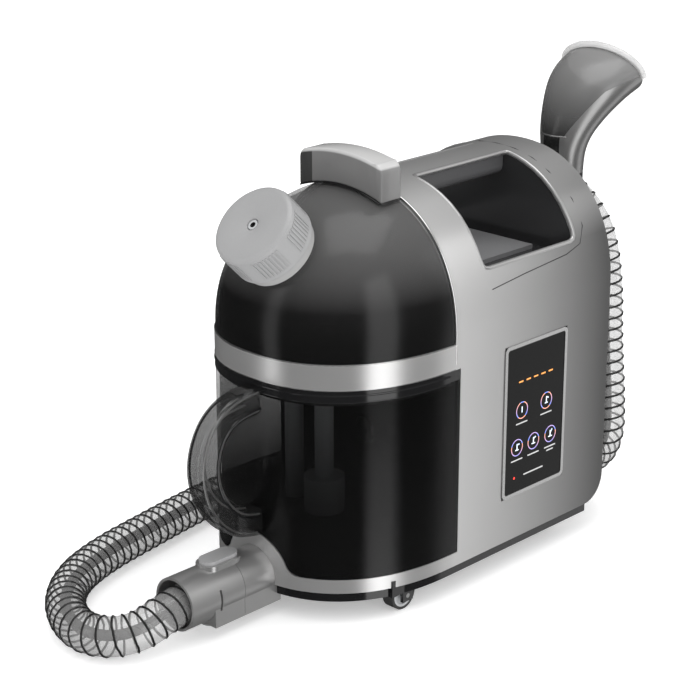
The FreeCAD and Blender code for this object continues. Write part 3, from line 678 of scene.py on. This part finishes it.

# %% [markdown]
# Thin beads mark the edges where parts meet: bright ones round the arch beside the dome and on the band, dark
# ones on the waste tank's rim, and a rounded strip round each hand opening with a fine dark seam beside it.
# The loop handle has dark beads and pale clear ones along its edges, whose pale colour is a painted
# highlight.
# A bead is a line with a small round section, kept as a mesh.

# %% Beads on the shell
# The pale clear beads on the loop's edges are painted highlights.
LOOP_BEADS = [
    ("loop_bead_outer", 7.8, 8.4, "lip"), ("loop_bead_inner", -7.8, 8.4, "lip"),
    ("loop_bead_dark", -5.2, 10.2, "black"), ("loop_bead_far", -7.8, -8.4, "lip"),
    ("loop_bead_rim", 7.8, -8.4, "black"),
]
for name, offset, x, finish in LOOP_BEADS:
    bead(name, loop_edge(loop_points, offset, x)[4:-4], 0.0009, "waste_tank_body", finish)
ARCH = [arch_point(math.pi * i / 96, 0.6, 0.5) for i in range(97)]
right_leg = [mm(HALF_WIDTH - 0.5, 0.6, z) for z in (206, 216)]
left_leg = [Vector((-p.x, p.y, p.z)) for p in reversed(right_leg)]
bead("arch_bead", right_leg + ARCH + left_leg, 0.0009, "housing", "trim")
inner = [arch_point(math.pi * i / 96, -0.4, 3.2) for i in range(97)]
bead("arch_inner_bead", inner, 0.0006, "housing", "trim")
for name, z, inset, radius in (("band_top_bead", 222.6, 0.6, 0.0007),
                               ("band_low_bead", 201.8, 0.3, 0.0005)):
    line = [nose_point(math.pi * i / 96, z, inset) for i in range(97)]
    bead(name, line, radius, "housing", "trim")
for name, z, inset, radius in (("tank_lip_bead", 197.4, 0.4, 0.0009),
                               ("tank_rim_bead", 191.5, 0.5, 0.0006)):
    line = [nose_point(math.pi * i / 96, z, inset) for i in range(1, 96)]
    bead(name, line, radius, "waste_tank_body", "black")
OPEN_FRONT, OPEN_REAR, EDGE_INSET = 41, 162, 1.6
SIDE_LINE = [(18, 4.0), (19, 1.2), (21.5, 0.0)]
SIDE_LINE += [(x, 0.0) for x in (26, 32, 40, 50, 60, 70, 80, 88, 92.5)]
SIDE_LINE += [(94.5, 0.8), (95.5, 3.0), (95.9, 8.0)]
for side, name in ((1, "hand_edge_right"), (-1, "hand_edge_left")):
    front = [arch_x(x, OPEN_FRONT + inward, EDGE_INSET) for x, inward in SIDE_LINE]
    rear = [arch_x(x, OPEN_REAR - inward, EDGE_INSET) for x, inward in SIDE_LINE]
    ring = [Vector((p.x * side, p.y, p.z)) for p in front + rear[::-1]]
    bead(name, ring, 0.0022, "housing", "fitting", closed=True, sides=4)
SEAM = [(47, 258), (90, 262), (146, 266), (166, 271), (175, 284), (176, 305)]
groove = []
for y, z in SEAM:
    climb = ((z - SPRING) / ARCH_RISE) ** ARCH_POWER
    groove.append(mm(HALF_WIDTH * (1 - climb) ** (1 / ARCH_POWER), y, z))
groove += [arch_x(x, 172 - (58 - x) / 58) for x in (58, 40, 20, 0)]
for side, name in ((1, "seam_right"), (-1, "seam_left")):
    line = [Vector((p.x * side, p.y, p.z)) for p in groove]
    bead(name, line, 0.0004, "housing", "dark")

# %% [markdown]
# The hand tool's head is a tube whose section turns from a circle into a wide mouth. Rings are placed along
# it and bridged into a tube. The tube is then cut along the seams that part the smoky window from the silver
# back. Each row of HEAD is one ring: its lean in degrees, its centre's y and z, and its half width and depth.

# %% Tool head
HEAD = [
    (0, 267.0, 299.0, 18.0, 18.0), (3, 265.8, 318.0, 20.6, 19.6), (12, 269.0, 335.0, 25.0, 21.4),
    (26, 279.1, 352.5, 31.4, 24.0), (40, 291.4, 366.9, 37.6, 25.4), (54, 305.3, 377.1, 41.6, 25.2),
    (66, 321.4, 384.0, 44.0, 24.0),
]


def between(rows, steps):
    """Rows of numbers with smooth extra rows between them."""
    padded = [rows[0]] + rows + [rows[-1]]
    smooth = []
    for a, b, c, d in zip(padded, padded[1:], padded[2:], padded[3:]):
        for step in range(steps):
            t = step / steps
            smooth.append([0.5 * (2 * q + (r - p) * t + (2 * p - 5 * q + 4 * r - u) * t ** 2
                                  + (3 * q - p - 3 * r + u) * t ** 3) for p, q, r, u in zip(a, b, c, d)])
    return smooth + [list(rows[-1])]


def head_place(lean, y, z, wide, deep):
    """The frame of one ring: X across the head, Y through its depth, Z along it."""
    turn = Matrix.Rotation(math.radians(-lean), 4, "X")
    return Matrix.Translation(mm(0, y, z)) @ turn @ Matrix.Diagonal((wide / 1000, deep / 1000, 1, 1))


tube = bmesh.new()
rings = []
for row in between(HEAD, 6):
    made = bmesh.ops.create_circle(tube, cap_ends=False, radius=1.0, segments=72, matrix=head_place(*row))
    rings.append({edge for vertex in made["verts"] for edge in vertex.link_edges})
for first, second in zip(rings, rings[1:]):
    bmesh.ops.bridge_loops(tube, edges=list(first | second))
STEEP, SHALLOW = 1.9, 0.85
BEND = (33.0, 374.5)
SILL, STRIP = 334, 9
cuts = [(mm(0, 0, SILL), (0, 0, 1))]
for side in (1, -1):
    bend_at = mm(BEND[0] * side, 0, BEND[1])
    cuts += [(bend_at, (-STEEP * side, 0, 1)), (bend_at, (-SHALLOW * side, 0, 1))]
    cuts.append((mm(STRIP * side, 0, 0), (1, 0, 0)))
for spot, normal in cuts:
    bmesh.ops.bisect_plane(tube, geom=tube.verts[:] + tube.edges[:] + tube.faces[:], plane_co=spot,
                           plane_no=Vector(normal).normalized())
bmesh.ops.recalc_face_normals(tube, faces=tube.faces)


def is_window(face):
    """Whether a face of the head belongs to the smoky front."""
    spot = face.calc_center_median()
    if face.normal.z - face.normal.y < 0.05:
        return False
    if spot.z < SILL / 1000:
        return abs(spot.x) < STRIP / 1000
    past_bend = abs(spot.x) - BEND[0] / 1000
    return spot.z > BEND[1] / 1000 + past_bend * (SHALLOW if past_bend > 0 else STEEP)


def head_part(name, wanted, finish, replaces):
    part = tube.copy()
    bmesh.ops.delete(part, geom=[face for face in part.faces if is_window(face) != wanted], context="FACES")
    bmesh.ops.solidify(part, geom=part.faces[:], thickness=0.0022)
    return finish_piece(name, part, "tool_body", finish, replaces)


head_part("head_window", True, "window", ["tool_window"])
head_part("head_back", False, "silver", ["tool_shell"])
tube.free()
lean, y, z, wide, deep = HEAD[-1]
edge = [head_place(lean, y, z, wide + 0.5, deep + 2.6) @ Vector((math.sin(t), -math.cos(t), 0.0005))
        for t in (math.radians(a) for a in range(-92, 93, 4))]
bead("head_lip", edge, 0.0031, "tool_body", "lip", sides=4)
bead("neck_line", [head_place(3, 266.6, 334, 21.9, 20.5) @ Vector((math.sin(t), -math.cos(t), 0))
                   for t in (math.radians(a) for a in range(-40, 41, 4))],
     0.0007, "tool_body", "trim")

# %% [markdown]
# The panel is a black glass with lit rings, simple marks in them and short bars where a label would be. The
# rings are thin turned hoops that stand a little proud, and their light runs from blue to orange.

# %% Lights on the panel
def glow(name, low, high, power):
    """A lit print whose colour runs up the piece."""
    recipe = Recipe(name)
    coords, x, y, z = recipe.place()
    bands = z * 80.0
    wave = (recipe.noise(coords, 160.0) * 0.2 + bands.math("FRACT", bands) * 0.8).clamp()
    color = recipe.mix(wave, low, high)
    return recipe.surface(Base_Color=color, Emission_Color=color, Emission_Strength=power, Roughness=0.4)


FINISH["ring"] = glow("ring_light", (0.05, 0.25, 0.9, 1), (0.9, 0.35, 0.1, 1), 0.9)
FINISH["glyph"] = glow("glyph_light", (0.55, 0.7, 0.85, 1), (0.8, 0.85, 0.9, 1), 0.8)
FINISH["label"] = glow("label_print", (0.42, 0.42, 0.42, 1), (0.5, 0.5, 0.5, 1), 0.35)
FINISH["led"] = glow("led_red", (0.9, 0.02, 0.02, 1), (1.0, 0.05, 0.03, 1), 1.2)
FINISH["mark"] = glow("mark_orange", (0.75, 0.28, 0.06, 1), (0.85, 0.34, 0.08, 1), 0.6)
PANEL = ((65.4, 141.3), (69.9, 200.7))
GLASS_X = 105.4


def on_panel(across, down, lift=0.15):
    """A place on the glass from its fractions across and down, with X turned out of the glass."""
    (y0, y1), (z0, z1) = PANEL
    spot = mm(GLASS_X + lift, y0 + (y1 - y0) * across, z1 - (z1 - z0) * down)
    return Matrix.Translation(spot) @ Matrix.Rotation(math.radians(90), 4, "Y")


def bar(work, place, u, v, long, wide, turn=0.0):
    """Adds a small flat bar: u runs up the panel and v across it."""
    spot = place @ Matrix.Translation((-u / 1000, v / 1000, 0))
    size = Matrix.Diagonal((wide / 1000, long / 1000, 0.00016, 1))
    bmesh.ops.create_cube(work, size=1.0, matrix=spot @ Matrix.Rotation(math.radians(turn), 4, "Z") @ size)


ICONS = [(0.27, 0.44), (0.70, 0.44), (0.20, 0.69), (0.49, 0.69), (0.79, 0.69)]
HOOP = [(6.9, -0.1), (6.9, 0.05), (7.6, 0.05), (7.6, -0.1), (6.9, -0.1)]
rings = bmesh.new()
for across, down in ICONS:
    hoop = turned(HOOP, 48, on_panel(across, down))
    spare = bpy.data.meshes.new("hoop")
    hoop.to_mesh(spare)
    hoop.free()
    rings.from_mesh(spare)
    bpy.data.meshes.remove(spare)
finish_piece("panel_rings", rings, "housing", "ring")
glyphs, labels = bmesh.new(), bmesh.new()
for index, (across, down) in enumerate(ICONS):
    place = on_panel(across, down)
    bar(glyphs, place, 0.6, 0, 1.0, 5.4)
    if index:
        bar(glyphs, place, 2.6, 1.4, 3.6, 1.0, 25 * (index - 2))
        bar(glyphs, place, -2.2, 0, 3.4 + 0.4 * index, 0.9)
    for line, wide in enumerate((15, 9)[:1 + (index == 4)]):
        bar(labels, place, -11.4 - 3.2 * line, 0, wide, 1.1)
bar(labels, on_panel(0.5, 0.9), 0, 0, 26, 1.2)
finish_piece("panel_glyphs", glyphs, "housing", "glyph")
finish_piece("panel_labels", labels, "housing", "label")
mark = bmesh.new()
for step in range(5):
    bar(mark, on_panel(0.24 + 0.13 * step, 0.24), 0, 0, 5.6, 1.3)
finish_piece("panel_mark", mark, "housing", "mark")
led = turned([(0, 0.1), (0.9, 0.05), (1.1, -0.1)], 24, on_panel(0.165, 0.9))
finish_piece("panel_led", led, "housing", "led")

# %% [markdown]
# The floor is plain and pale. Tall soft lamps give the long highlights that show the roundness of the tanks.
# The sky is white for the eye and for matt surfaces, and a dim gradient for reflections, because a glossy
# dark tank under an all-white sky would look grey.

# %% Floor and light
bpy.ops.mesh.primitive_plane_add(size=16, location=(0, 0, 0))
floor = bpy.context.object
floor.name = "floor"
FINISH["floor"] = Recipe("pale_floor").surface(
    Base_Color=(0.9, 0.9, 0.9, 1), Roughness=0.8, Specular_IOR_Level=0.0,
    Emission_Color=(1, 1, 1, 1), Emission_Strength=0.35)
wear(floor, "floor")
floor.visible_glossy = False
world = bpy.data.worlds.new("studio")
scene.world = world
world.use_nodes = True
sky = world.node_tree
sky.nodes.clear()
rays = sky.nodes.new("ShaderNodeLightPath")
place = sky.nodes.new("ShaderNodeTexCoord")
parts = sky.nodes.new("ShaderNodeSeparateXYZ")
ramp = sky.nodes.new("ShaderNodeValToRGB")
choice = sky.nodes.new("ShaderNodeMix")
choice.data_type = "RGBA"
backdrop = sky.nodes.new("ShaderNodeBackground")
closing = sky.nodes.new("ShaderNodeOutputWorld")
sky.links.new(place.outputs["Generated"], parts.inputs[0])
height_share = Value(sky, parts.outputs[2]) * 0.5 + 0.5
sky.links.new(height_share.socket, ramp.inputs[0])
sideways = (Value(sky, parts.outputs[0]) * 0.6 + 0.6).clamp()
for element, position, level in zip(ramp.color_ramp.elements, (0.42, 0.95), (0.10, 0.75)):
    element.position = position
    element.color = (level, level, level, 1)
ramp.color_ramp.elements.new(0.55).color = (0.22, 0.22, 0.22, 1)
sky.links.new(rays.outputs["Is Glossy Ray"], choice.inputs[0])
choice.inputs[6].default_value = (1, 1, 1, 1)
shade = sky.nodes.new("ShaderNodeMix")
shade.data_type = "RGBA"
sky.links.new(sideways.socket, shade.inputs[0])
shade.inputs[6].default_value = (0.04, 0.04, 0.04, 1)
sky.links.new(ramp.outputs[0], shade.inputs[7])
sky.links.new(shade.outputs[2], choice.inputs[7])
sky.links.new(choice.outputs[2], backdrop.inputs[0])
sky.links.new(backdrop.outputs[0], closing.inputs[0])


def lamp(name, spot, aim, size, power):
    """A soft rectangular lamp that looks at a point."""
    light = bpy.data.lights.new(name, "AREA")
    light.shape = "RECTANGLE"
    light.size, light.size_y = size
    light.energy = power
    piece = bpy.data.objects.new(name, light)
    scene.collection.objects.link(piece)
    piece.location = spot
    piece.rotation_euler = (Vector(spot) - Vector(aim)).to_track_quat("Z", "Y").to_euler()
    return piece


lamp("tall_softbox", (2.2, -0.27, 0.0), (0, 0, 0.0), (1.0, 4.0), 22)
lamp("side_softbox", (1.3, 1.9, 0.0), (0, 0, 0.0), (1.2, 3.6), 9)
lamp("left_softbox", (-0.9, -1.9, 0.2), (0, 0, 0.2), (0.5, 2.6), 4)
lamp("top_softbox", (0.1, 0.1, 2.0), (0, 0, 0.2), (1.4, 1.4), 12)
print("lights set")
